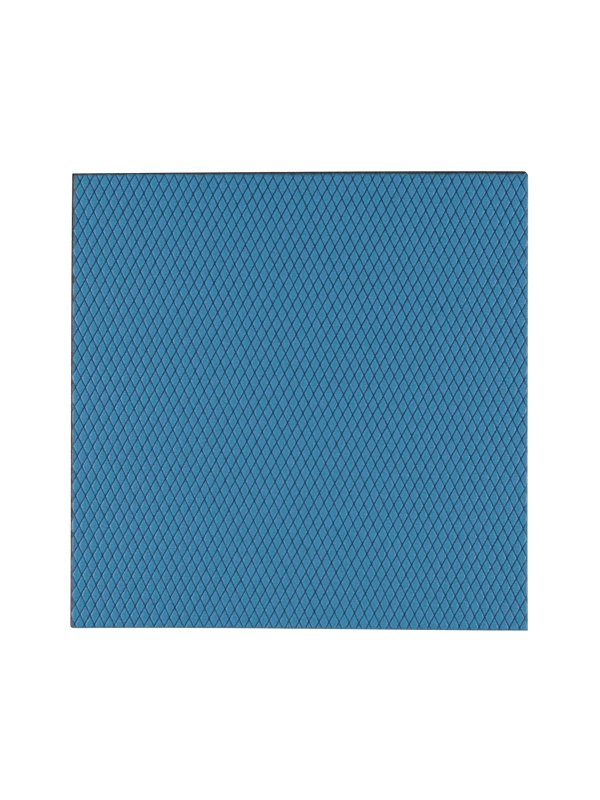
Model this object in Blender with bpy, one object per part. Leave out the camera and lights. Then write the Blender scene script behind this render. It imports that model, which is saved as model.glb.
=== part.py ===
"""Thermal pad sheet: a soft grey silicone gap-filler sheet under a blue release film.

Metres, +Z up. The origin is the centre of the pad's underside, which lies on the floor.
The blank is seen from above with +Y as its far edge.
"""

import math

import bmesh
import bpy
from mathutils import Vector

# The blank, as it is ordered
SHEET_WIDTH = 0.1450
SHEET_LENGTH = 0.1450
PAD_THICKNESS = 0.0010
FILM_THICKNESS = 0.0002

# How far each cut corner lands from the true rectangle, as (x, y)
NEAR_LEFT_MISS = Vector((0.00016, 0.00020))
NEAR_RIGHT_MISS = Vector((-0.00036, -0.00010))
FAR_LEFT_MISS = Vector((0.00016, -0.00012))
FAR_RIGHT_MISS = Vector((0.00005, 0.00003))

# How far each cut edge bows: the outward bow at mid edge, and the lean of its peak towards +X or +Y
LEFT_BOW = (0.00009, 1.5)
RIGHT_BOW = (-0.00009, -1.4)
NEAR_BOW = (-0.00022, -1.3)
FAR_BOW = (0.00018, 0.4)

# Radius that the blade left at each corner
NEAR_LEFT_RADIUS = 0.00070
NEAR_RIGHT_RADIUS = 0.00025
FAR_LEFT_RADIUS = 0.00030
FAR_RIGHT_RADIUS = 0.00090

# The pad's soft cut side, from the floor up: a tight foot, a swell, and the upper edge that the blade
# rolled down
PAD_FOOT_RADIUS = 0.00005
PAD_SIDE_SWELL = 0.00008
PAD_EDGE_ROLL = 0.00022

# The film crept over the pad when the blank was cut, and then shrank a little at each of its edges
FILM_CREEP = Vector((0.000365, -0.000370))
FILM_TURN = math.radians(-0.09)
FILM_SHRINK = Vector((0.00003, 0.00007))
FILM_SEAT_GAP = 0.00002

# Fineness of the curves, and the angle from which an edge shows as sharp
EDGE_SEGMENTS = 16
CORNER_SEGMENTS = 4
SWELL_SEGMENTS = 4
ROLL_SEGMENTS = 3
SHARP_ANGLE = math.radians(35.0)

PAD_GREY = (0.020, 0.025, 0.029, 1.0)
PAD_ROUGHNESS = 0.75
FILM_BLUE = (0.048, 0.212, 0.371, 1.0)
FILM_ROUGHNESS = 0.45


def clear_scene():
    for obj in list(bpy.data.objects):
        bpy.data.objects.remove(obj, do_unlink=True)


def make_material(name, colour, roughness):
    material = bpy.data.materials.new(name)
    material.use_nodes = True
    shader = material.node_tree.nodes["Principled BSDF"]
    shader.inputs["Base Color"].default_value = colour
    shader.inputs["Roughness"].default_value = roughness
    shader.inputs["Metallic"].default_value = 0.0
    material.diffuse_color = colour
    return material


def bow_at(bow, along):
    """Outward offset of a cut edge at a place from -1 to 1 along it."""
    depth, lean = bow
    return depth * (1.0 - along * along) * (1.0 + lean * along)


def as_cut(point):
    """Carries a point of the true rectangle to where the blade really left it."""
    across = 2.0 * point.x / SHEET_WIDTH
    along = 2.0 * point.y / SHEET_LENGTH
    right = (1.0 + across) / 2.0
    far = (1.0 + along) / 2.0
    near_miss = NEAR_LEFT_MISS.lerp(NEAR_RIGHT_MISS, right)
    far_miss = FAR_LEFT_MISS.lerp(FAR_RIGHT_MISS, right)
    miss = near_miss.lerp(far_miss, far)
    side_bow = right * bow_at(RIGHT_BOW, along) - (1.0 - right) * bow_at(LEFT_BOW, along)
    end_bow = far * bow_at(FAR_BOW, across) - (1.0 - far) * bow_at(NEAR_BOW, across)
    return Vector((point.x + miss.x + side_bow, point.y + miss.y + end_bow, point.z))


def cut_outline(bm):
    """The blank's outline as one flat face at the height of the origin, with its corners rounded."""
    half_width = SHEET_WIDTH / 2.0
    half_length = SHEET_LENGTH / 2.0
    corners = (
        (-half_width, -half_length, NEAR_LEFT_RADIUS),
        (half_width, -half_length, NEAR_RIGHT_RADIUS),
        (half_width, half_length, FAR_RIGHT_RADIUS),
        (-half_width, half_length, FAR_LEFT_RADIUS),
    )
    bm.faces.new([bm.verts.new((x, y, 0.0)) for x, y, radius in corners])
    for x, y, radius in corners:
        sharp = Vector((x, y, 0.0))
        corner = min(bm.verts, key=lambda vertex: (vertex.co - sharp).length)
        bmesh.ops.bevel(
            bm,
            geom=[corner],
            offset=radius,
            segments=CORNER_SEGMENTS,
            profile=0.5,
            affect="VERTICES",
            material=-1,
        )
    straight = min(SHEET_WIDTH, SHEET_LENGTH) / 2.0
    sides = [edge for edge in bm.edges if edge.calc_length() > straight]
    bmesh.ops.subdivide_edges(bm, edges=sides, cuts=EDGE_SEGMENTS - 1, use_grid_fill=False)
    for vertex in bm.verts:
        vertex.co = as_cut(vertex.co)


def pad_section():
    """The pad's cut side as rings of (outward offset, height) above its underside."""
    rings = [(-PAD_FOOT_RADIUS, 0.0)]
    roll_start = PAD_THICKNESS - PAD_EDGE_ROLL
    for step in range(SWELL_SEGMENTS + 1):
        share = step / SWELL_SEGMENTS
        height = PAD_FOOT_RADIUS + share * (roll_start - PAD_FOOT_RADIUS)
        rings.append((PAD_SIDE_SWELL * math.sin(math.pi * share), height))
    for step in range(1, ROLL_SEGMENTS + 1):
        turn = 0.5 * math.pi * step / ROLL_SEGMENTS
        inward = PAD_EDGE_ROLL * (1.0 - math.cos(turn))
        rings.append((-inward, roll_start + PAD_EDGE_ROLL * math.sin(turn)))
    return rings


def widen(bm, verts, before, after):
    """Moves a ring from one outward offset to another."""
    wider = (SHEET_WIDTH + 2.0 * after) / (SHEET_WIDTH + 2.0 * before)
    longer = (SHEET_LENGTH + 2.0 * after) / (SHEET_LENGTH + 2.0 * before)
    bmesh.ops.scale(bm, vec=(wider, longer, 1.0), verts=verts)


def raise_rings(bm, rings):
    """Extrudes the flat outline into a slab through rings of (outward offset, height)."""
    offset, height = rings[0]
    widen(bm, bm.verts[:], 0.0, offset)
    bm.faces.ensure_lookup_table()
    face = bm.faces[0]
    for ring, (next_offset, next_height) in enumerate(rings[1:]):
        raised = bmesh.ops.extrude_face_region(bm, geom=[face])["geom"]
        if ring > 0:
            bmesh.ops.delete(bm, geom=[face], context="FACES_ONLY")
        verts = [item for item in raised if isinstance(item, bmesh.types.BMVert)]
        face = next(item for item in raised if isinstance(item, bmesh.types.BMFace))
        widen(bm, verts, offset, next_offset)
        bmesh.ops.translate(bm, vec=(0.0, 0.0, next_height - height), verts=verts)
        offset = next_offset
        height = next_height


def make_piece(name, bm, material):
    bmesh.ops.recalc_face_normals(bm, faces=bm.faces)
    mesh = bpy.data.meshes.new(name)
    bm.to_mesh(mesh)
    bm.free()
    mesh.shade_smooth()
    mesh.set_sharp_from_angle(angle=SHARP_ANGLE)
    mesh.materials.append(material)
    piece = bpy.data.objects.new(name, mesh)
    bpy.context.scene.collection.objects.link(piece)
    return piece


def make_pad():
    bm = bmesh.new()
    cut_outline(bm)
    raise_rings(bm, pad_section())
    silicone = make_material("silicone", PAD_GREY, PAD_ROUGHNESS)
    return make_piece("silicone_pad", bm, silicone)


def make_film():
    bm = bmesh.new()
    cut_outline(bm)
    shrunk = (1.0 - 2.0 * FILM_SHRINK.x / SHEET_WIDTH, 1.0 - 2.0 * FILM_SHRINK.y / SHEET_LENGTH, 1.0)
    bmesh.ops.scale(bm, vec=shrunk, verts=bm.verts)
    raise_rings(bm, [(0.0, 0.0), (0.0, FILM_THICKNESS)])
    film = make_material("film", FILM_BLUE, FILM_ROUGHNESS)
    piece = make_piece("release_film", bm, film)
    piece.location = (FILM_CREEP.x, FILM_CREEP.y, PAD_THICKNESS + FILM_SEAT_GAP)
    piece.rotation_euler = (0.0, 0.0, FILM_TURN)
    return piece


clear_scene()
make_pad()
make_film()
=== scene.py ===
# %% [markdown]
# # A thermal pad sheet under its blue embossed film
#
# The real object is a soft slab of ceramic-filled silicone, one millimetre thick. It is sold with a thin
# plastic film pressed onto its tacky upper face. The film is embossed with diamonds, so that it peels off
# easily: it clings to the silicone only along the lines, and a little air stays under each diamond.
#
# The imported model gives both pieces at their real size, as plain slabs. This script dresses them: it presses
# the diamonds into the film, rolls the cut edge of the silicone, and gives each surface its finish.

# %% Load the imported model
import math

import bmesh
import bpy
import numpy as np
from mathutils import Matrix, Vector, noise


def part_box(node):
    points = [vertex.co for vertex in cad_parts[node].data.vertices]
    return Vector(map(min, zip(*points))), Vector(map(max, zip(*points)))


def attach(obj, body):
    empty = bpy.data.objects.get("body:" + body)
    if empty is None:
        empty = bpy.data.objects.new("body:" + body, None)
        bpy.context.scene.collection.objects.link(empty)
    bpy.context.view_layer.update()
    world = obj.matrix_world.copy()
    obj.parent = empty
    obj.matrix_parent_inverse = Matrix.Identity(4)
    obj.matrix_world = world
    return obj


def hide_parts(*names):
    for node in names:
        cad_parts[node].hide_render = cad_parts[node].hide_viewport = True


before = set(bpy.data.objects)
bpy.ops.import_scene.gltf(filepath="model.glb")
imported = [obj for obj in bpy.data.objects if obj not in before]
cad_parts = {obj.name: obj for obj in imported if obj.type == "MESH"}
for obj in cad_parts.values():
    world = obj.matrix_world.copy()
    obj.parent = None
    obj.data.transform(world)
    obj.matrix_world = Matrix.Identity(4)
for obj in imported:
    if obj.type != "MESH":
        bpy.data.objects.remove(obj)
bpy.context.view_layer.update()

MM = 0.001
pad_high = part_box("silicone_pad")[1]
film_low, film_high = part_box("release_film")

# %% [markdown]
# ## The camera
#
# The sheet lies flat, and the photographer stands over it with a longish lens. The camera leans a little to
# the near right, which makes that corner slightly larger than the far left one. A camera that looks almost
# straight down has no natural "up", so its three axes are worked out one by one instead of with a tracking
# constraint: back along the line of sight, up as close as can be to the sheet's +Y, and right across both.

# %% Camera over the sheet
CAMERA_DISTANCE = 0.700
CAMERA_LENS = 99.16
CAMERA_NEAREST = 10.0 * MM
LEAN_RIGHT = math.radians(1.55)
LEAN_NEAR = math.radians(2.20)
AIM = Vector((0.47 * MM, -0.13 * MM, 0.0))

back = Vector((math.tan(LEAN_RIGHT), -math.tan(LEAN_NEAR), 1.0)).normalized()
up = (Vector((0.0, 1.0, 0.0)) - back * back.y).normalized()
right = up.cross(back)

camera = bpy.data.objects.new("camera", bpy.data.cameras.new("camera"))
camera.data.lens = CAMERA_LENS
camera.data.clip_start = CAMERA_NEAREST
turned = Matrix((right, up, back)).transposed().to_4x4()
camera.matrix_world = Matrix.Translation(AIM + back * CAMERA_DISTANCE) @ turned
bpy.context.scene.collection.objects.link(camera)
bpy.context.scene.camera = camera
print("camera at", [round(place, 3) for place in camera.matrix_world.translation])

# %% [markdown]
# ## The outline, taken from the model
#
# Both pieces were cut with one blade, so each is made from the outline of its own solid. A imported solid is
# a shell of loose triangles: a copy of it is merged, and its underside is kept and dissolved into one face.
# The long edges are then divided, so that they can follow the blade's faint wander. That wander is noise,
# and Blender starts its noise from the clock unless it is given a seed, so it gets one here. The two cuts
# then read the noise at nearly the same place, because one pass of the blade made both.

# %% Outline of a solid
BLADE_WANDER = 0.020 * MM
WANDER_LENGTH = 6.0 * MM
OUTLINE_STEP = 1.2 * MM
PAD_CUT_SEED = 3.0
FILM_CUT_SEED = 3.2
SAME_POINT = 0.001 * MM
SAME_HEIGHT = 0.01 * MM
NOISE_SEED = 3
noise.seed_set(NOISE_SEED)


def outline_face(node):
    """A bmesh that holds one flat face, with the outline of the node's underside."""
    bm = bmesh.new()
    bm.from_mesh(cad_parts[node].data)
    bmesh.ops.remove_doubles(bm, verts=bm.verts, dist=SAME_POINT)
    floor_height = min(vertex.co.z for vertex in bm.verts)
    higher = [vertex for vertex in bm.verts if vertex.co.z > floor_height + SAME_HEIGHT]
    bmesh.ops.delete(bm, geom=higher, context="VERTS")
    bmesh.ops.dissolve_faces(bm, faces=bm.faces)
    return bm


def follow_the_blade(bm, seed):
    """Divides the long edges and lets the cut wander a little, as a blade does."""
    for edge in list(bm.edges):
        cuts = int(edge.calc_length() / OUTLINE_STEP)
        if cuts > 0:
            bmesh.ops.subdivide_edges(bm, edges=[edge], cuts=cuts)
    for vertex in bm.verts:
        place = vertex.co / WANDER_LENGTH + Vector((seed, 0.0, 0.0))
        drift = noise.noise_vector(place) * BLADE_WANDER
        vertex.co += Vector((drift.x, drift.y, 0.0))


def edge_points(bm):
    """The corners of the outline's one face, in order, as rows of x and y."""
    bm.faces.ensure_lookup_table()
    return np.array([vertex.co.xy[:] for vertex in bm.faces[0].verts])


pad_outline = outline_face("silicone_pad")
follow_the_blade(pad_outline, PAD_CUT_SEED)
film_outline = outline_face("release_film")
follow_the_blade(film_outline, FILM_CUT_SEED)
pad_edge = edge_points(pad_outline)
film_edge = edge_points(film_outline)
print("outline points:", len(pad_edge), "on the pad,", len(film_edge), "on the film")

# %% [markdown]
# ## The silicone pad
#
# Silicone gap filler is softer than an eraser. The blade drags its upper edge down into a roll, and the cut
# side swells between the roll and the table. The outline is extruded upwards in rings. Each ring is scaled
# out or in, so the side follows a section that a sine and a quarter circle give. A bevel would round the
# edge too, but it can't swell the side, and it stumbles over an outline of five hundred short edges.

# %% Pad with a rolled edge
FOOT_RADIUS = 0.05 * MM
ROLL_RADIUS = 0.22 * MM
ROLL_STEPS = 6
SWELL = 0.08 * MM
SWELL_STEPS = 6
SHARP_DEGREES = 40.0


def side_section():
    """Rows of (distance out from the underside's outline, height) up the pad's cut side."""
    roll_start = pad_high.z - ROLL_RADIUS
    rows = []
    for step in range(SWELL_STEPS + 1):
        share = step / SWELL_STEPS
        height = FOOT_RADIUS + share * (roll_start - FOOT_RADIUS)
        rows.append((FOOT_RADIUS + SWELL * math.sin(math.pi * share), height))
    for step in range(1, ROLL_STEPS + 1):
        turn = 0.5 * math.pi * step / ROLL_STEPS
        inward = ROLL_RADIUS * (1.0 - math.cos(turn))
        rows.append((FOOT_RADIUS - inward, roll_start + ROLL_RADIUS * math.sin(turn)))
    return rows


def extrude_rings(bm, rows, half_side):
    """Extrudes the outline's face upwards from height zero, through one ring for each row."""
    bm.faces.ensure_lookup_table()
    face = bm.faces[0]
    size = half_side
    height = 0.0
    for ring, (out, level) in enumerate(rows):
        raised = bmesh.ops.extrude_face_region(bm, geom=[face])["geom"]
        if ring > 0:
            bmesh.ops.delete(bm, geom=[face], context="FACES_ONLY")
        verts = [item for item in raised if isinstance(item, bmesh.types.BMVert)]
        face = next(item for item in raised if isinstance(item, bmesh.types.BMFace))
        wider = (half_side + out) / size
        bmesh.ops.scale(bm, vec=(wider, wider, 1.0), verts=verts)
        bmesh.ops.translate(bm, vec=(0.0, 0.0, level - height), verts=verts)
        size = half_side + out
        height = level


def finish_piece(name, bm, sharp_degrees=SHARP_DEGREES):
    """Turns a bmesh into a piece at the origin, smooth but for its sharp edges."""
    mesh = bpy.data.meshes.new(name)
    bm.to_mesh(mesh)
    bm.free()
    mesh.shade_smooth()
    mesh.set_sharp_from_angle(angle=math.radians(sharp_degrees))
    piece = bpy.data.objects.new(name, mesh)
    bpy.context.scene.collection.objects.link(piece)
    return piece


extrude_rings(pad_outline, side_section(), pad_high.x)
bmesh.ops.recalc_face_normals(pad_outline, faces=pad_outline.faces)
pad = finish_piece("pad_slab", pad_outline)
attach(pad, "root")
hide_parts("silicone_pad")
print("pad:", len(pad.data.polygons), "faces")

# %% [markdown]
# ## The embossed film
#
# A steel roller presses two families of parallel lines into the film, and they cross as tall diamonds. The
# relief is real geometry here, because it shows along the cut edge and in low light. A grid whose rows and
# columns run along the two families of lines needs few faces for that: six to a diamond each way, close
# together at the walls of a line and far apart on the flat.
#
# Two "phases" say where a point lies among the lines. Each grows by one from a line to the next, so the
# same numbers drive the grid, the relief and later the colour. The diamonds' width, height and turns were
# measured in the photograph. Such a film stretches a little as it runs over the roller, so the lines drift
# from their true places by a few hundredths of a millimetre.

# %% Where the lines run
DIAMOND_WIDTH = 3.158 * MM
DIAMOND_HEIGHT = 6.256 * MM
WIDTH_TURN = math.radians(-1.67)
HEIGHT_TURN = math.radians(-2.43)
CROSSING = Vector((-0.04 * MM, -1.24 * MM))

half_width = Vector((math.cos(WIDTH_TURN), math.sin(WIDTH_TURN))) * DIAMOND_WIDTH / 2.0
half_height = Vector((-math.sin(HEIGHT_TURN), math.cos(HEIGHT_TURN))) * DIAMOND_HEIGHT / 2.0
step_one = half_width - half_height
step_two = -half_width - half_height
lattice = Matrix((step_one, step_two)).transposed()
unlattice = lattice.inverted()
diamond_area = abs(lattice.determinant())
SPACING = diamond_area / step_two.length
DRIFT = 0.07 * MM
DRIFT_LENGTH = 3.5 * MM


def drift_at(x, y):
    """How far the stretched film carried a place away from the roller's true pattern."""
    drift = noise.noise_vector(Vector((x, y, 0.0)) / DRIFT_LENGTH)
    return drift.xy * DRIFT


print("lines", round(SPACING / MM, 3), "mm and", round(diamond_area / step_one.length / MM, 3), "mm apart")

# %% [markdown]
# ## Pressing the relief
#
# A displacement texture could press the lines, but it would need a very fine mesh to keep them crisp. Here
# each row of the grid is put at its exact place across a line: at the foot of its wall, halfway up, or on
# the shoulder. The line's floor and the diamond's crown need no rows of their own, since both are flat. The
# relief is the product of the two families' profiles, so a crossing is as deep as a line and has soft
# corners. One family looks stronger than the other in the photograph, so it is pressed a little deeper.

# %% Grid along the lines
LINE_DEPTH = 0.11 * MM
SECOND_DEPTH = 0.85
FOOT_HALF = 0.21 * MM
MIDWAY_HALF = 0.38 * MM
SHOULDER_HALF = 0.56 * MM
FOOT_HEIGHT = 0.0
MIDWAY_HEIGHT = 0.5
SHOULDER_HEIGHT = 1.0
FOOT = FOOT_HALF / SPACING
MIDWAY = MIDWAY_HALF / SPACING
SHOULDER = SHOULDER_HALF / SPACING
PLACES = (FOOT, MIDWAY, SHOULDER, 1.0 - SHOULDER, 1.0 - MIDWAY, 1.0 - FOOT)
HEIGHTS = (FOOT_HEIGHT, MIDWAY_HEIGHT, SHOULDER_HEIGHT, SHOULDER_HEIGHT, MIDWAY_HEIGHT, FOOT_HEIGHT)
SPARE = 0.4 * MM


def phases_at(x, y):
    """How many lines of each family lie between the crossing and a place."""
    return unlattice @ (Vector((x, y)) - drift_at(x, y) - CROSSING)


def relief_grid(low, high):
    """A grid along the two families of lines, pressed with them, that covers the box."""
    corners = [phases_at(x, y) for x in (low.x, high.x) for y in (low.y, high.y)]
    first = [math.floor(min(corner[family] for corner in corners)) for family in (0, 1)]
    last = [math.ceil(max(corner[family] for corner in corners)) for family in (0, 1)]
    count = [len(PLACES) * (last[family] - first[family]) for family in (0, 1)]
    bm = bmesh.new()
    bmesh.ops.create_grid(bm, x_segments=count[0], y_segments=count[1], size=1.0)
    for vertex in bm.verts:
        phase = []
        height = 1.0
        for family, strength in ((0, 1.0), (1, SECOND_DEPTH)):
            index = round((vertex.co[family] + 1.0) / 2.0 * count[family])
            period, place = divmod(index, len(PLACES))
            phase.append(first[family] + period + PLACES[place])
            height *= 1.0 - strength * (1.0 - HEIGHTS[place])
        flat = CROSSING + lattice @ Vector(phase)
        flat += drift_at(flat.x, flat.y)
        vertex.co = (flat.x, flat.y, film_high.z - LINE_DEPTH * (1.0 - height))
    return bm


def trim(bm, low, high):
    """Cuts the grid to a box with four upright planes."""
    for axis in (0, 1):
        for corner, outward in ((low, -1.0), (high, 1.0)):
            normal = Vector((0.0, 0.0, 0.0))
            normal[axis] = outward
            geometry = bm.verts[:] + bm.edges[:] + bm.faces[:]
            bmesh.ops.bisect_plane(bm, geom=geometry, plane_co=corner, plane_no=normal, clear_outer=True)


spare = Vector((SPARE, SPARE, 0.0))
film_grid = relief_grid(film_low - spare, film_high + spare)
trim(film_grid, film_low - spare, film_high + spare)
print("relief:", len(film_grid.faces), "faces")

# %% [markdown]
# ## Cutting the film to its outline
#
# The relief gets a skirt and a flat underside, which makes it a closed slab, and the slab is cut with the
# film's own outline. Trimming with planes would do for straight edges. These edges bow, so a Boolean with
# an upright prism of the outline is simpler, and it leaves one closed body.

# %% Film cut from the relief
PRISM_REACH = 0.5 * MM


def close_below(bm, height):
    """Gives an open sheet a skirt and a flat underside."""
    rim = [edge for edge in bm.edges if edge.is_boundary]
    skirt = bmesh.ops.extrude_edge_only(bm, edges=rim)["geom"]
    for item in skirt:
        if isinstance(item, bmesh.types.BMVert):
            item.co.z = height
    open_edges = [edge for edge in bm.edges if edge.is_boundary]
    bmesh.ops.holes_fill(bm, edges=open_edges, sides=0)
    bmesh.ops.recalc_face_normals(bm, faces=bm.faces)


def upright_prism(bm, low, high):
    """Extrudes the outline's one face into a prism between two heights."""
    for vertex in bm.verts:
        vertex.co.z = low
    raised = bmesh.ops.extrude_face_region(bm, geom=bm.faces[:])["geom"]
    for item in raised:
        if isinstance(item, bmesh.types.BMVert):
            item.co.z = high
    bmesh.ops.recalc_face_normals(bm, faces=bm.faces)


def common_part(name, slab, prism):
    """The mesh that a slab and a prism share, as a Boolean gives it."""
    keep = bpy.data.objects.new(name, bpy.data.meshes.new(name))
    cutter = bpy.data.objects.new(name + "_outline", bpy.data.meshes.new(name + "_outline"))
    for obj, bm in ((keep, slab), (cutter, prism)):
        bm.to_mesh(obj.data)
        bm.free()
        bpy.context.scene.collection.objects.link(obj)
    boolean = keep.modifiers.new("cut", "BOOLEAN")
    boolean.operation = "INTERSECT"
    boolean.solver = "EXACT"
    boolean.object = cutter
    graph = bpy.context.evaluated_depsgraph_get()
    mesh = bpy.data.meshes.new_from_object(keep.evaluated_get(graph))
    bpy.data.objects.remove(keep)
    bpy.data.objects.remove(cutter)
    return mesh


close_below(film_grid, film_low.z)
upright_prism(film_outline, film_low.z - PRISM_REACH, film_high.z + PRISM_REACH)
film_mesh = common_part("film_cut", film_grid, film_outline)
film_shape = bmesh.new()
film_shape.from_mesh(film_mesh)
bpy.data.meshes.remove(film_mesh)
print("cut film:", len(film_shape.faces), "faces")

# %% [markdown]
# ## How far a point lies from the cut
#
# The crushed margin and the film's colours both need to know how far a point lies inside a cut edge. The
# nearest stretch of the outline gives the distance, and the side of it on which the point lies gives the
# sign. A loop over the points and the stretches would be slow, so numpy works out all of them at once, and
# only for points close to the edge.

# %% Depth inside an outline
NEAR_EDGE = 4.0 * MM


def depth_inside(edge, places):
    """How deep each place lies inside an outline, in metres, and negative beyond it."""
    following = np.roll(edge, -1, axis=0)
    area = np.sum(edge[:, 0] * following[:, 1] - following[:, 0] * edge[:, 1])
    along = following - edge
    away = places[:, None, :] - edge[None, :, :]
    share = np.sum(away * along, axis=2) / np.sum(along * along, axis=1)
    gap = away - np.clip(share, 0.0, 1.0)[:, :, None] * along
    distance = np.sqrt(np.sum(gap * gap, axis=2))
    nearest = np.argmin(distance, axis=1)
    rows = np.arange(len(places))
    side = along[nearest, 0] * away[rows, nearest, 1] - along[nearest, 1] * away[rows, nearest, 0]
    return distance[rows, nearest] * np.sign(side) * np.sign(area)


def edge_depths(edge, places):
    """The same for many places: those far from the edge share one large depth."""
    low = edge.min(axis=0) + NEAR_EDGE
    high = edge.max(axis=0) - NEAR_EDGE
    near = np.any((places < low) | (places > high), axis=1)
    depths = np.full(len(places), NEAR_EDGE)
    depths[near] = np.minimum(depth_inside(edge, places[near]), NEAR_EDGE)
    return depths


middle_depth = depth_inside(film_edge, np.zeros((1, 2)))[0]
print("the middle of the film lies", round(middle_depth / MM, 1), "mm inside its cut")

# %% [markdown]
# ## The crushed margin
#
# A blade crushes the embossed film where it cuts: over the last three quarters of a millimetre the diamonds
# come down nearly to the film's own thickness. The grid has no rows along the cut edge, so a few planes
# divide it there first. Then each point sinks by how near the edge it lies. Moving points is enough, as
# nothing is added or closed.
#
# Where a cut passes close to a corner of the grid it leaves a sliver, and those are dissolved. The faces
# with more than four corners become well-shaped triangles before anything moves, while they are still flat.
# At the end the normals are weighted by area: the wide crowns then shade flat, and only the walls turn.

# %% Margin of the film
MARGIN = 0.75 * MM
MARGIN_CUTS = (0.10 * MM, 0.25 * MM, 0.42 * MM, 0.60 * MM, 0.78 * MM)
CRUSHED = 0.92
SLIVER = 0.03 * MM
STRAIGHT_SHARE = 0.9
MOST_CORNERS = 4
FILM_SHARP_DEGREES = 50.0


def divide(bm, point, normal):
    """Divides the faces along a plane."""
    geometry = bm.verts[:] + bm.edges[:] + bm.faces[:]
    bmesh.ops.bisect_plane(bm, geom=geometry, plane_co=point, plane_no=normal)


def cut_along_the_edges(bm, edge, offsets):
    """Divides the faces along lines beside each straight side of the outline."""
    centre = Vector(edge.mean(axis=0)).to_3d()
    reach = np.abs(edge - edge.mean(axis=0)).max(axis=0)
    for axis in (0, 1):
        for sign in (-1.0, 1.0):
            middle = np.abs(edge[:, 1 - axis] - centre[1 - axis]) < STRAIGHT_SHARE * reach[1 - axis]
            on_side = edge[middle & (sign * (edge[:, axis] - centre[axis]) > STRAIGHT_SHARE * reach[axis])]
            slope, level = np.polyfit(on_side[:, 1 - axis], on_side[:, axis], 1)
            outward = Vector((0.0, 0.0, 0.0))
            outward[axis] = sign
            outward[1 - axis] = -sign * slope
            outward.normalize()
            for offset in offsets:
                point = Vector((0.0, 0.0, 0.0))
                point[axis] = level
                divide(bm, point - outward * offset, outward)


def crush_margin(bm, edge):
    """Sinks the relief towards the film's own thickness beside the cut edge."""
    thin = film_high.z - LINE_DEPTH
    tops = [vertex for vertex in bm.verts if vertex.co.z > film_low.z + SAME_HEIGHT]
    depths = edge_depths(edge, np.array([vertex.co.xy[:] for vertex in tops]))
    for vertex, depth in zip(tops, depths):
        share = CRUSHED * max(0.0, 1.0 - max(depth, 0.0) / MARGIN) ** 2
        vertex.co.z += share * (thin - vertex.co.z)


cut_along_the_edges(film_shape, film_edge, MARGIN_CUTS)
bmesh.ops.dissolve_degenerate(film_shape, dist=SLIVER, edges=film_shape.edges)
many_sided = [face for face in film_shape.faces if len(face.verts) > MOST_CORNERS]
bmesh.ops.triangulate(film_shape, faces=many_sided, quad_method="BEAUTY", ngon_method="BEAUTY")
crush_margin(film_shape, film_edge)
film = finish_piece("embossed_film", film_shape, FILM_SHARP_DEGREES)
flat_crowns = film.modifiers.new("flat_crowns", "WEIGHTED_NORMAL")
flat_crowns.keep_sharp = True
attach(film, "root")
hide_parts("release_film")
triangles = sum(len(face.vertices) - 2 for face in film.data.polygons)
print("film:", len(film.data.polygons), "faces,", triangles, "triangles")

# %% [markdown]
# ## What the finish has to know
#
# The colour of the film depends on where a point lies: among the lines, near the film's own cut edge, and
# inside or beyond the silicone's edge. A texture image could hold that. Three attributes on the mesh hold it
# at any sharpness and stay with the piece, so the material only has to read them.

# %% Attributes of the film
def store(mesh, name, kind, values):
    """Writes one value, or one row of three, to each vertex."""
    layer = mesh.attributes.new(name, kind, "POINT")
    field = "value" if kind == "FLOAT" else "vector"
    layer.data.foreach_set(field, np.ascontiguousarray(values, dtype=np.float32).ravel())


places = np.empty(len(film.data.vertices) * 3, dtype=np.float32)
film.data.vertices.foreach_get("co", places)
places = places.reshape(-1, 3)[:, :2].astype(float)
over_pad = edge_depths(pad_edge, places)
phases = [(*phases_at(x, y), 0.0) for x, y in places]
store(film.data, "line_phase", "FLOAT_VECTOR", phases)
store(film.data, "film_depth_mm", "FLOAT", edge_depths(film_edge, places) / MM)
store(film.data, "pad_depth_mm", "FLOAT", over_pad / MM)
print("film hangs over the pad by up to", round(-over_pad.min() / MM, 2), "mm")

# %% [markdown]
# ## Working with nodes
#
# A material is a small graph. Writing each node out by hand takes four lines, so helpers do it: one adds a
# node with its settings and inputs, and the others add the three kinds that come up most, which are a Math
# node, a smooth ramp between two values and a mix of two colours.

# %% Node helpers
def add_node(tree, kind, inputs=None, **settings):
    """Adds a node. An input is a number, a colour or another node's output."""
    node = tree.nodes.new(kind)
    for name, value in settings.items():
        setattr(node, name, value)
    for name, value in (inputs or {}).items():
        if isinstance(value, bpy.types.NodeSocket):
            tree.links.new(value, node.inputs[name])
        else:
            node.inputs[name].default_value = value
    return node


def calculate(tree, operation, *values):
    """A Math node's output."""
    inputs = dict(enumerate(values))
    return add_node(tree, "ShaderNodeMath", inputs, operation=operation).outputs["Value"]


def ramp(tree, value, start, end, low=0.0, high=1.0):
    """A smooth step from low, where value is at start, to high, where it is at end."""
    inputs = {"Value": value, "From Min": start, "From Max": end, "To Min": low, "To Max": high}
    return add_node(tree, "ShaderNodeMapRange", inputs, interpolation_type="SMOOTHSTEP").outputs["Result"]


def blend_colour(tree, share, first, second):
    """A Mix node between two colours."""
    node = add_node(tree, "ShaderNodeMix", data_type="RGBA")
    for socket, value in (("Factor_Float", share), ("A_Color", first), ("B_Color", second)):
        target = next(item for item in node.inputs if item.identifier == socket)
        if isinstance(value, bpy.types.NodeSocket):
            tree.links.new(value, target)
        else:
            target.default_value = value
    return next(item for item in node.outputs if item.identifier == "Result_Color")


print("node helpers:", [helper.__name__ for helper in (add_node, calculate, ramp, blend_colour)])

# %% [markdown]
# ## Groups and materials
#
# A node group is a small graph with a name, and any material can place it like a single node. That keeps an
# effect the same on every surface, with sockets for what differs. The shader itself stays in the material,
# because an export reads it only there.

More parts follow.
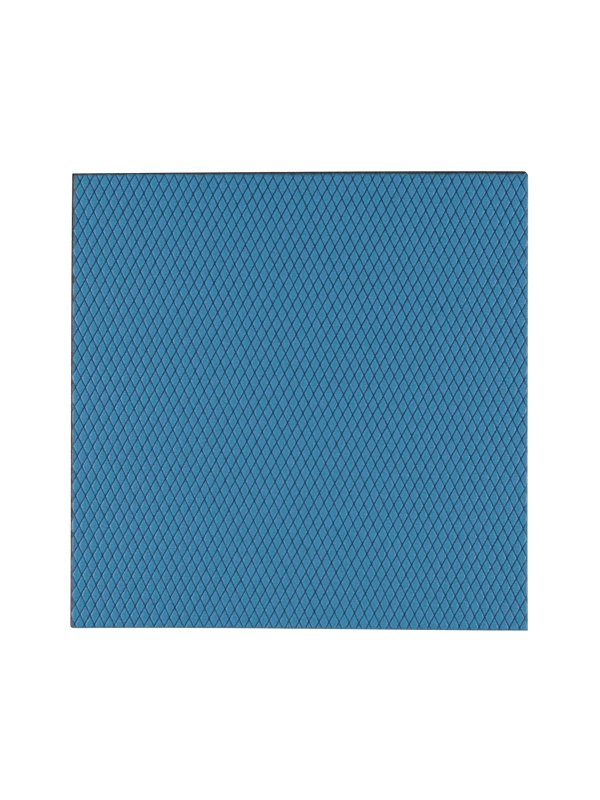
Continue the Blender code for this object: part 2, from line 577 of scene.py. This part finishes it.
# %% Groups and materials
def new_group(name, inputs, outputs):
    """A shader node group with named inputs and outputs. It returns the tree and its two end nodes."""
    tree = bpy.data.node_groups.new(name, "ShaderNodeTree")
    for label, kind, value in inputs:
        socket = tree.interface.new_socket(label, in_out="INPUT", socket_type=kind)
        if value is not None:
            socket.default_value = value
    for label, kind in outputs:
        tree.interface.new_socket(label, in_out="OUTPUT", socket_type=kind)
    return tree, tree.nodes.new("NodeGroupInput"), tree.nodes.new("NodeGroupOutput")


def use_group(tree, group, **inputs):
    """Places a group in a material with its own values."""
    node = tree.nodes.new("ShaderNodeGroup")
    node.node_tree = group
    for label, value in inputs.items():
        target = node.inputs[label.replace("_", " ")]
        if isinstance(value, bpy.types.NodeSocket):
            tree.links.new(value, target)
        else:
            target.default_value = value
    return node.outputs


def new_material(name):
    """A material with its Principled shader."""
    material = bpy.data.materials.new(name)
    material.use_nodes = True
    return material, material.node_tree, material.node_tree.nodes["Principled BSDF"]


print("group helpers:", [helper.__name__ for helper in (new_group, use_group, new_material)])

# %% [markdown]
# ## Two effects that both pieces share
#
# Grain is the fine unevenness that keeps a matt surface from looking like paint on glass. Handling is the
# opposite: slow, faint patches from fingers, wrapping and air under a film. Both are groups, so that each
# material places them with its own size and strength.

# %% Grain and handling
FLOAT = "NodeSocketFloat"
VECTOR = "NodeSocketVector"
NO_STRETCH = (1.0, 1.0, 1.0)
GRAIN_DETAIL = 3.0
GRAIN_HARSHNESS = 0.6
SPECK_EDGE = 0.30
SPECK_CORE = 0.12
PATCH_DETAIL = 2.0
PATCH_DISTORTION = 0.4
PATCH_START = 0.30
PATCH_END = 0.70

grain_inputs = [("Place", VECTOR, None), ("Per Metre", FLOAT, 1.0), ("Stretch", VECTOR, NO_STRETCH)]
grain, ends_in, ends_out = new_group("grain", grain_inputs, [("Height", FLOAT), ("Speck", FLOAT)])
stretch_inputs = {0: ends_in.outputs["Place"], 1: ends_in.outputs["Stretch"]}
stretch = add_node(grain, "ShaderNodeVectorMath", stretch_inputs, operation="MULTIPLY")
stretched = stretch.outputs["Vector"]
noise_inputs = {"Vector": stretched, "Scale": ends_in.outputs["Per Metre"],
                "Detail": GRAIN_DETAIL, "Roughness": GRAIN_HARSHNESS}
fine_noise = add_node(grain, "ShaderNodeTexNoise", noise_inputs).outputs["Fac"]
cell_inputs = {"Vector": stretched, "Scale": ends_in.outputs["Per Metre"]}
cells = add_node(grain, "ShaderNodeTexVoronoi", cell_inputs, feature="F1").outputs["Distance"]
grain.links.new(fine_noise, ends_out.inputs["Height"])
grain.links.new(ramp(grain, cells, SPECK_EDGE, SPECK_CORE), ends_out.inputs["Speck"])

handling_inputs = [("Place", VECTOR, None), ("Per Metre", FLOAT, 1.0), ("Seed", FLOAT, 0.0)]
handling, ends_in, ends_out = new_group("handling", handling_inputs, [("Patch", FLOAT)])
patch_inputs = {"Vector": ends_in.outputs["Place"], "W": ends_in.outputs["Seed"],
                "Scale": ends_in.outputs["Per Metre"], "Detail": PATCH_DETAIL,
                "Distortion": PATCH_DISTORTION}
patches = add_node(handling, "ShaderNodeTexNoise", patch_inputs, noise_dimensions="4D").outputs["Fac"]
handling.links.new(ramp(handling, patches, PATCH_START, PATCH_END), ends_out.inputs["Patch"])
print("groups:", [group.name for group in bpy.data.node_groups])

# %% [markdown]
# ## The film's colour
#
# The film is a clear blue polyethylene. Over a line it touches the dark silicone and looks deep blue. Over
# a diamond there is air under it, and it looks paler. Beside each line the shoulder is paler still: that is
# a painted highlight, where the shoulder catches the soft light. A transparent shader would give the blue
# from below, but slowly and with noise. Masks over an opaque shader give the same look, and they survive an
# export.
#
# The first masks come from the two phases. Their distance to the nearest whole number, times the spacing,
# is the distance to the nearest line in millimetres, at any zoom. A large whole number is added before that,
# so that no phase is negative. The whole numbers just below the two phases stay the same all over one
# diamond, so they serve as that diamond's own number and tint it a little.

# %% Masks of lines, rims and diamonds
LINE_CORE = 0.06
LINE_FADE = 0.33
RIM_START = 0.22
RIM_PEAK = 0.42
RIM_END = 0.80
FAR_PHASE = 1000.0

film_finish, tree, shader = new_material("embossed blue film")
phase = add_node(tree, "ShaderNodeAttribute", attribute_name="line_phase").outputs["Vector"]
place = add_node(tree, "ShaderNodeTexCoord").outputs["Object"]
split = add_node(tree, "ShaderNodeSeparateXYZ", {"Vector": phase}).outputs


def line_masks(part):
    """For one family of lines: how much a point is on a line, and how much on its rim of painted highlight."""
    wrapped = calculate(tree, "FRACT", calculate(tree, "ADD", part, FAR_PHASE + 0.5))
    away = calculate(tree, "ABSOLUTE", calculate(tree, "SUBTRACT", wrapped, 0.5))
    away_mm = calculate(tree, "MULTIPLY", away, SPACING / MM)
    line = ramp(tree, away_mm, LINE_CORE, LINE_FADE, 1.0, 0.0)
    rise = ramp(tree, away_mm, RIM_START, RIM_PEAK)
    fall = ramp(tree, away_mm, RIM_PEAK, RIM_END, 1.0, 0.0)
    return line, calculate(tree, "MULTIPLY", rise, fall)


line_one, rim_one = line_masks(split["X"])
line_two, rim_two = line_masks(split["Y"])
diamond = add_node(tree, "ShaderNodeVectorMath", {0: phase}, operation="FLOOR").outputs["Vector"]
diamond_tint = add_node(tree, "ShaderNodeTexWhiteNoise", {"Vector": diamond}).outputs["Value"]
print("line masks:", LINE_CORE, "to", LINE_FADE, "mm from the middle of a line")

# %% [markdown]
# ## Layering the film's colours
#
# The colours go on in layers: the film over air, with its faint cloudy tint, then a painted highlight on the
# rims, then the lines where it touches the silicone, and last the crossings, where both families press and
# it is darkest. The photograph shows the lines a little fainter towards the near left corner, as if the film
# clung less firmly there, so a slow ramp across the sheet fades them that way.

# %% Film over air and over silicone
LINE_STRENGTHS = (1.13, 0.98)
CROSSING_STRENGTH = 0.85
RIM_HIGHLIGHT_STRENGTH = 0.62
CLOUDS_PER_METRE = 900.0
CLOUD_SEED = 2.0
CLOUD_SHARE = 0.65
DIAMOND_SHARE = 0.35
CLING_WAY = (0.50, 1.0, 0.0)
CLING_REACH = 75.0 * MM
LEAST_CLING = 0.86
SLACK = 0.16
SLACK_PER_METRE = 420.0
SLACK_SEED = 7.0
FIELD_TEAL = (0.019, 0.262, 0.431, 1.0)
FIELD_VIOLET = (0.056, 0.247, 0.486, 1.0)
LINE_BLUE = (0.0005, 0.058, 0.164, 1.0)
CROSSING_BLUE = (0.0003, 0.034, 0.108, 1.0)
# The rim colour is a painted highlight on the shoulders beside the lines.
RIM_HIGHLIGHT_BLUE = (0.098, 0.292, 0.505, 1.0)

clouds = use_group(tree, handling, Place=place, Per_Metre=CLOUDS_PER_METRE, Seed=CLOUD_SEED)["Patch"]
cloud_part = calculate(tree, "MULTIPLY", clouds, CLOUD_SHARE)
diamond_part = calculate(tree, "MULTIPLY", diamond_tint, DIAMOND_SHARE)
tint = calculate(tree, "ADD", cloud_part, diamond_part)
field_colour = blend_colour(tree, tint, FIELD_TEAL, FIELD_VIOLET)

along_cling = add_node(tree, "ShaderNodeVectorMath", {0: place, 1: CLING_WAY}, operation="DOT_PRODUCT")
firm = ramp(tree, along_cling.outputs["Value"], -CLING_REACH, CLING_REACH, LEAST_CLING, 1.0)
slack = use_group(tree, handling, Place=place, Per_Metre=SLACK_PER_METRE, Seed=SLACK_SEED)["Patch"]
cling = calculate(tree, "MULTIPLY", firm, calculate(tree, "MULTIPLY_ADD", slack, -SLACK, 1.0))
off_lines = 1.0
crossing = CROSSING_STRENGTH
for mask, strength in zip((line_one, line_two), LINE_STRENGTHS):
    pressed = calculate(tree, "MULTIPLY", calculate(tree, "MULTIPLY", mask, strength), cling)
    pressed = calculate(tree, "MINIMUM", pressed, 1.0)
    off_lines = calculate(tree, "MULTIPLY", calculate(tree, "SUBTRACT", 1.0, pressed), off_lines)
    crossing = calculate(tree, "MULTIPLY", pressed, crossing)
line = calculate(tree, "SUBTRACT", 1.0, off_lines)
# The rim mask lays that painted highlight on the shoulders, next to the real glints on the walls.
rim = calculate(tree, "MULTIPLY", calculate(tree, "MAXIMUM", rim_one, rim_two), off_lines)
body_colour = blend_colour(tree, calculate(tree, "MULTIPLY", rim, RIM_HIGHLIGHT_STRENGTH), field_colour, RIM_HIGHLIGHT_BLUE)
body_colour = blend_colour(tree, line, body_colour, LINE_BLUE)
body_colour = blend_colour(tree, crossing, body_colour, CROSSING_BLUE)
print("film colours from", FIELD_TEAL[:3], "to", CROSSING_BLUE[:3])

# %% [markdown]
# ## The film's cut margin
#
# Where the blade crushed the film it turned greyer, a millimetre deep or more. On two sides the film ends on
# the silicone, and the blade pressed it flat there: the margin is wetted and nearly as dark as the pad. On
# the other two sides it hangs over, and stays pale. The two depths that the mesh carries tell these cases
# apart. Each side of the sheet was a cut of its own, so three masks that run across the sheet give the sides
# margins of their own width and shade. The left and right shades are paler partly from the greyed film and
# partly from a painted highlight, where the side softboxes catch the crushed edge. The far margin is darkest
# towards its right end, so a ramp along it presses it harder there. Slow patches let the blade's marks come
# and go along a cut, and make the wetted margin paler in places on the left side.

# %% Film margin and material
NEAR_MARGIN = (0.064, 0.172, 0.262, 1.0)
# The left and right margin colours hold a painted highlight, where the side softboxes catch the crushed edge.
LEFT_MARGIN_AND_SHEEN = (0.128, 0.196, 0.260, 1.0)
RIGHT_MARGIN_AND_SHEEN = (0.076, 0.240, 0.380, 1.0)
FAR_MARGIN = (0.046, 0.172, 0.272, 1.0)
MARGIN_STRENGTH = 0.85
MARGIN_START = 0.15
MARGIN_END = 0.95
SIDE_MARGIN_END = 1.35
FAR_MARGIN_END = 1.90
SIDE_INSIDE = 70.0 * MM
SIDE_OUTSIDE = 71.2 * MM
WET_GREY = (0.017, 0.036, 0.052, 1.0)
LEFT_PALE_GREY = (0.074, 0.098, 0.112, 1.0)
WET_STRENGTH = 0.97
WET_START = 0.02
WET_END_LIGHT = 0.48
WET_END_FIRM = 0.76
PRESSED_START = -60.0 * MM
PRESSED_END = 10.0 * MM
WAVINESS = 0.30
ON_PAD_START = -0.10
ON_PAD_END = 0.02
PATCHES_PER_METRE = 220.0
PATCH_SEED = 5.0
GRAIN_PER_METRE = 2400.0
GRAIN_SHADE = 2.2

film_depth = add_node(tree, "ShaderNodeAttribute", attribute_name="film_depth_mm").outputs["Fac"]
pad_depth = add_node(tree, "ShaderNodeAttribute", attribute_name="pad_depth_mm").outputs["Fac"]
edge_patches = use_group(tree, handling, Place=place, Per_Metre=PATCHES_PER_METRE, Seed=PATCH_SEED)["Patch"]
over_sheet = add_node(tree, "ShaderNodeSeparateXYZ", {"Vector": place}).outputs
left_side = ramp(tree, over_sheet["X"], -SIDE_INSIDE, -SIDE_OUTSIDE)
right_side = ramp(tree, over_sheet["X"], SIDE_INSIDE, SIDE_OUTSIDE)
pressed_hard = ramp(tree, over_sheet["X"], PRESSED_START, PRESSED_END)
far_edge = ramp(tree, over_sheet["Y"], SIDE_INSIDE, SIDE_OUTSIDE)
far_side = calculate(tree, "MULTIPLY", far_edge, pressed_hard)
either_side = calculate(tree, "ADD", left_side, right_side)
side_end = calculate(tree, "MULTIPLY_ADD", either_side, SIDE_MARGIN_END - MARGIN_END, MARGIN_END)
far_end = calculate(tree, "MULTIPLY_ADD", far_side, FAR_MARGIN_END - MARGIN_END, MARGIN_END)
margin_end = calculate(tree, "MAXIMUM", side_end, far_end)
wavy = calculate(tree, "MULTIPLY_ADD", calculate(tree, "SUBTRACT", edge_patches, 0.5), WAVINESS, film_depth)
margin = ramp(tree, wavy, MARGIN_START, margin_end, MARGIN_STRENGTH, 0.0)
# The left and right margin colours carry a painted highlight from the side softboxes.
margin_colour = blend_colour(tree, left_side, NEAR_MARGIN, LEFT_MARGIN_AND_SHEEN)
margin_colour = blend_colour(tree, right_side, margin_colour, RIGHT_MARGIN_AND_SHEEN)
margin_colour = blend_colour(tree, far_side, margin_colour, FAR_MARGIN)
body_colour = blend_colour(tree, margin, body_colour, margin_colour)
left_patches = calculate(tree, "MULTIPLY", edge_patches, left_side)
wet_colour = blend_colour(tree, left_patches, WET_GREY, LEFT_PALE_GREY)
on_pad = ramp(tree, calculate(tree, "SUBTRACT", pad_depth, film_depth), ON_PAD_START, ON_PAD_END)
wet_end = calculate(tree, "MULTIPLY_ADD", pressed_hard, WET_END_FIRM - WET_END_LIGHT, WET_END_LIGHT)
wet = calculate(tree, "MULTIPLY", ramp(tree, wavy, WET_START, wet_end, WET_STRENGTH, 0.0), on_pad)
body_colour = blend_colour(tree, wet, body_colour, wet_colour)

grain_out = use_group(tree, grain, Place=place, Per_Metre=GRAIN_PER_METRE)
shade = calculate(tree, "MULTIPLY_ADD", grain_out["Height"], GRAIN_SHADE, 1.0 - GRAIN_SHADE / 2.0)
shaded = add_node(tree, "ShaderNodeVectorMath", {0: body_colour, "Scale": shade}, operation="SCALE")
tree.links.new(shaded.outputs["Vector"], shader.inputs["Base Color"])
print("margin from", MARGIN_START, "to", MARGIN_END, "or", FAR_MARGIN_END, "mm inside the cut")

# %% [markdown]
# ## The film's surface
#
# Polyethylene is satin, and the roller polished the floors of the lines. Those floors and the crowns lie
# flat and mirror only the dark ceiling, while the walls between them catch the side lights. Fine grain goes
# into the bump.

# %% Gloss and grain of the film
FIELD_ROUGHNESS = 0.34
LINE_ROUGHNESS = 0.16
FILM_SPECULAR = 0.75
BUMP_DISTANCE = 0.02 * MM
FILM_BUMP = 0.12

bump_inputs = {"Height": grain_out["Height"], "Strength": FILM_BUMP, "Distance": BUMP_DISTANCE}
bump = add_node(tree, "ShaderNodeBump", bump_inputs)
tree.links.new(bump.outputs["Normal"], shader.inputs["Normal"])
tree.links.new(ramp(tree, line, 0.0, 1.0, FIELD_ROUGHNESS, LINE_ROUGHNESS), shader.inputs["Roughness"])
shader.inputs["Specular IOR Level"].default_value = FILM_SPECULAR
film.data.materials.append(film_finish)
print("film roughness from", LINE_ROUGHNESS, "to", FIELD_ROUGHNESS)

# %% [markdown]
# ## The silicone's finish
#
# The filler is silicone packed with ceramic powder, so it is a dark grey with fine pale specks and hardly
# any shine. The blade leaves faint upright strokes on the cut side, which is the grain group again,
# stretched upwards. The left side is paler in places: the handling group's patches lighten it there only.

# %% Pad material
PAD_GREY = (0.009, 0.014, 0.019, 1.0)
PAD_PALE = (0.050, 0.057, 0.062, 1.0)
PAD_LEFT_PALE = (0.088, 0.098, 0.104, 1.0)
PAD_ROUGHNESS = 0.70
PAD_SPECULAR = 0.08
SPECK_STRENGTH = 0.4
LEFT_PALE_STRENGTH = 0.7
PAD_GRAIN_PER_METRE = 4000.0
STROKES_PER_METRE = 3000.0
STROKE_STRETCH = (1.0, 1.0, 0.12)
PAD_BUMP = 0.4

pad_finish, tree, shader = new_material("grey silicone")
place = add_node(tree, "ShaderNodeTexCoord").outputs["Object"]
grain_out = use_group(tree, grain, Place=place, Per_Metre=PAD_GRAIN_PER_METRE)
speck = calculate(tree, "MULTIPLY", grain_out["Speck"], SPECK_STRENGTH)
body_colour = blend_colour(tree, speck, PAD_GREY, PAD_PALE)
edge_patches = use_group(tree, handling, Place=place, Per_Metre=PATCHES_PER_METRE, Seed=PATCH_SEED)["Patch"]
across = add_node(tree, "ShaderNodeSeparateXYZ", {"Vector": place}).outputs["X"]
left_side = ramp(tree, across, -SIDE_INSIDE, -SIDE_OUTSIDE, 0.0, LEFT_PALE_STRENGTH)
body_colour = blend_colour(tree, calculate(tree, "MULTIPLY", edge_patches, left_side), body_colour, PAD_LEFT_PALE)
tree.links.new(body_colour, shader.inputs["Base Color"])
strokes = use_group(tree, grain, Place=place, Per_Metre=STROKES_PER_METRE, Stretch=STROKE_STRETCH)["Height"]
height = calculate(tree, "ADD", grain_out["Height"], strokes)
bump = add_node(tree, "ShaderNodeBump", {"Height": height, "Strength": PAD_BUMP, "Distance": BUMP_DISTANCE})
tree.links.new(bump.outputs["Normal"], shader.inputs["Normal"])
shader.inputs["Roughness"].default_value = PAD_ROUGHNESS
shader.inputs["Specular IOR Level"].default_value = PAD_SPECULAR
pad.data.materials.append(pad_finish)
print("pad roughness", PAD_ROUGHNESS)

# %% [markdown]
# ## The floor
#
# The photograph is a plain product shot: the floor is pure white, with no shadow that shows. More light on a
# white floor would give that too, but it would wash out the sheet. A floor that glows a little, like a light
# table, stays white under soft light.

# %% Floor
WHITE = (1.0, 1.0, 1.0, 1.0)
FLOOR_SIDE = 6.0
FLOOR_DROP = 0.1 * MM
FLOOR_WHITE = (0.80, 0.80, 0.80, 1.0)
FLOOR_ROUGHNESS = 0.9
FLOOR_SPECULAR = 0.1
FLOOR_GLOW = 0.72

floor_bm = bmesh.new()
bmesh.ops.create_grid(floor_bm, x_segments=1, y_segments=1, size=FLOOR_SIDE / 2.0)
bmesh.ops.translate(floor_bm, vec=(0.0, 0.0, -FLOOR_DROP), verts=floor_bm.verts)
floor = finish_piece("floor", floor_bm)
floor_finish, tree, shader = new_material("white table")
shader.inputs["Base Color"].default_value = FLOOR_WHITE
shader.inputs["Roughness"].default_value = FLOOR_ROUGHNESS
shader.inputs["Specular IOR Level"].default_value = FLOOR_SPECULAR
shader.inputs["Emission Color"].default_value = WHITE
shader.inputs["Emission Strength"].default_value = FLOOR_GLOW
floor.data.materials.append(floor_finish)
print("floor", FLOOR_SIDE, "m wide")

# %% [markdown]
# ## Light and surroundings
#
# Two softboxes face each other across the sheet, one at the left and one at the right, and nothing hangs
# overhead. The flat crowns of the film then mirror only the dark ceiling and keep their deep blue, while the
# walls of the lines catch a softbox each. A light above the sheet would lay a pale sheen over the crowns.
# The studio's walls are as pale as the floor, so that the two meet without a horizon.

# %% Lights and studio
SOFTBOX_LENGTH = 0.42
SOFTBOX_HEIGHT = 0.30
SOFTBOX_DISTANCE = 0.75
SOFTBOX_ELEVATION = math.radians(45.0)
LEFT_BEARING = 180.0
LEFT_WATTS = 2.50
RIGHT_BEARING = -4.0
RIGHT_WATTS = 2.42
WALL_COLOUR = (0.93, 0.95, 0.97, 1.0)
WALL_TOP = 0.30
CEILING_START = 0.75
CEILING_GLOW = 0.02


def softbox(name, bearing, watts):
    """A soft light that faces the sheet from a bearing in degrees, counted from +X."""
    turn = math.radians(bearing)
    lift = SOFTBOX_ELEVATION
    towards = Vector((math.cos(turn) * math.cos(lift), math.sin(turn) * math.cos(lift), math.sin(lift)))
    light = bpy.data.objects.new(name, bpy.data.lights.new(name, "AREA"))
    light.data.shape = "RECTANGLE"
    light.data.size = SOFTBOX_LENGTH
    light.data.size_y = SOFTBOX_HEIGHT
    light.data.energy = watts
    facing = towards.to_track_quat("Z", "Y").to_matrix().to_4x4()
    light.matrix_world = Matrix.Translation(towards * SOFTBOX_DISTANCE) @ facing
    bpy.context.scene.collection.objects.link(light)


softbox("softbox_left", LEFT_BEARING, LEFT_WATTS)
softbox("softbox_right", RIGHT_BEARING, RIGHT_WATTS)

world = bpy.data.worlds.new("studio")
world.use_nodes = True
bpy.context.scene.world = world
tree = world.node_tree
background = tree.nodes["Background"]
sky = add_node(tree, "ShaderNodeTexCoord").outputs["Generated"]
height = add_node(tree, "ShaderNodeSeparateXYZ", {"Vector": sky}).outputs["Z"]
walls = ramp(tree, height, WALL_TOP, CEILING_START, 1.0, CEILING_GLOW)
tree.links.new(walls, background.inputs["Strength"])
background.inputs["Color"].default_value = WALL_COLOUR
bpy.context.scene.view_settings.view_transform = "Standard"
